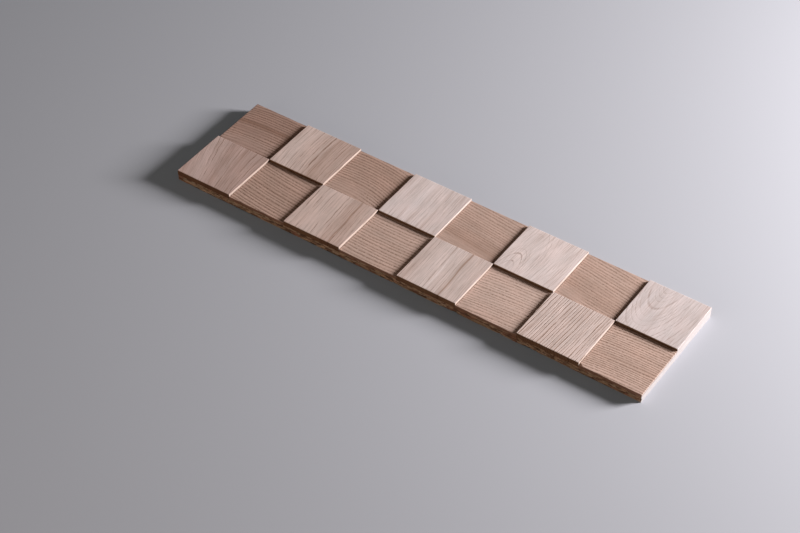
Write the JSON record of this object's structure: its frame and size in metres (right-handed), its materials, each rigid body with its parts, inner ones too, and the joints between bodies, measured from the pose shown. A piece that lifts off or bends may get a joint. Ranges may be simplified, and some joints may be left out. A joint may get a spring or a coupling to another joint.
{
  "type": "3d wall panel tile",
  "caption": "Long rectangular wall panel tile: square oak blocks in two thicknesses form a raised chequer on a strand board backing, for gluing to a wall.",
  "frame": {"origin": "middle of the back face, which lies on the wall or the floor", "axes": "+X along the panel, +Y across it towards the row that starts with a low block, +Z out of the face"},
  "size_m": [0.76, 0.187, 0.018],
  "materials": {
    "strand_board": "raw pressed wood strands with sawn edges",
    "oak_raised": "pale brushed oak, unlacquered, grain across the panel",
    "oak_low": "browner brushed oak, unlacquered, grain along the panel"
  },
  "bodies": {
    "root": {"backing_board": "strand_board", "raised_block_front_1": "oak_raised", "low_block_front_2": "oak_low", "raised_block_front_3": "oak_raised", "low_block_front_4": "oak_low", "raised_block_front_5": "oak_raised", "low_block_front_6": "oak_low", "raised_block_front_7": "oak_raised", "low_block_front_8": "oak_low", "low_block_back_1": "oak_low", "raised_block_back_2": "oak_raised", "low_block_back_3": "oak_low", "raised_block_back_4": "oak_raised", "low_block_back_5": "oak_low", "raised_block_back_6": "oak_raised", "low_block_back_7": "oak_low", "raised_block_back_8": "oak_raised"}
  },
  "joints": []
}
